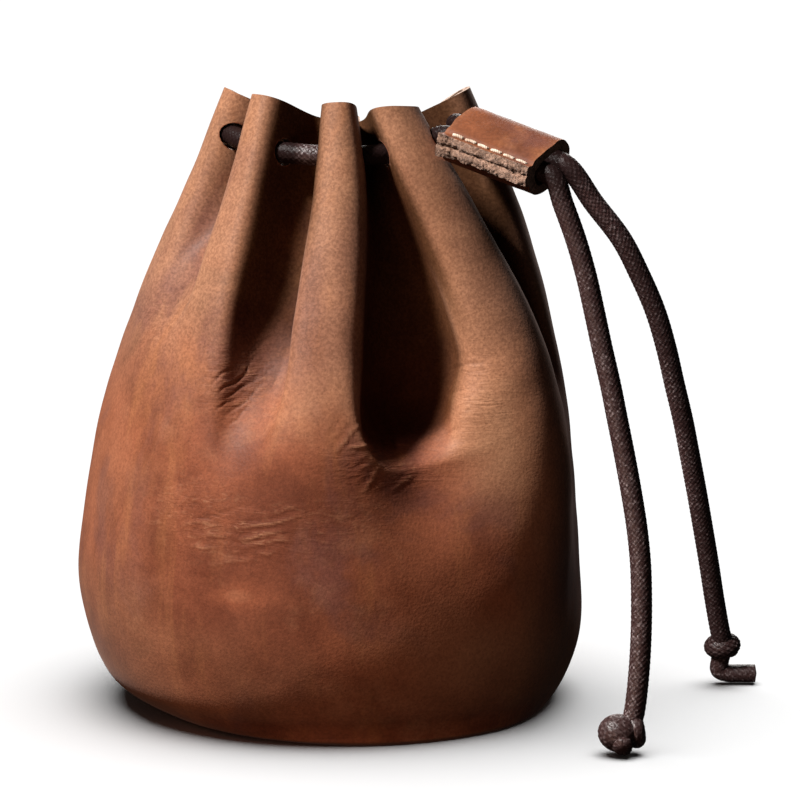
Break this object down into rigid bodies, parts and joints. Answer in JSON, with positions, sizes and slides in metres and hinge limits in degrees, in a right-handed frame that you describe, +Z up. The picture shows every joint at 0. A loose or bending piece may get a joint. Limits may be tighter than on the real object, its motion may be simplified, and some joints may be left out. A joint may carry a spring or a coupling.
{
  "type": "drawstring pouch",
  "caption": "Standing leather pouch with a hollow round belly, its mouth gathered into folds by a waxed cord that runs through a sewn leather slider to knotted ends.",
  "frame": {"origin": "on the flat of the base, under the middle of the belly", "axes": "+Z up through the mouth, -Y towards the front folds, +X towards the side where the slider and the free ends hang"},
  "size_m": [0.1401, 0.107, 0.126],
  "materials": {
    "pouch_leather": "oiled pull-up leather, satin",
    "slider_leather": "oiled pull-up leather, satin",
    "cord": "braided and waxed",
    "thread": "waxed sewing thread"
  },
  "bodies": {
    "root": {"pouch_body": "pouch_leather", "cord_slider": "slider_leather", "drawstring_loop": "cord", "drawstring_end_front": "cord", "drawstring_end_side": "cord", "knot_front": "cord", "knot_side": "cord"}
  },
  "joints": []
}
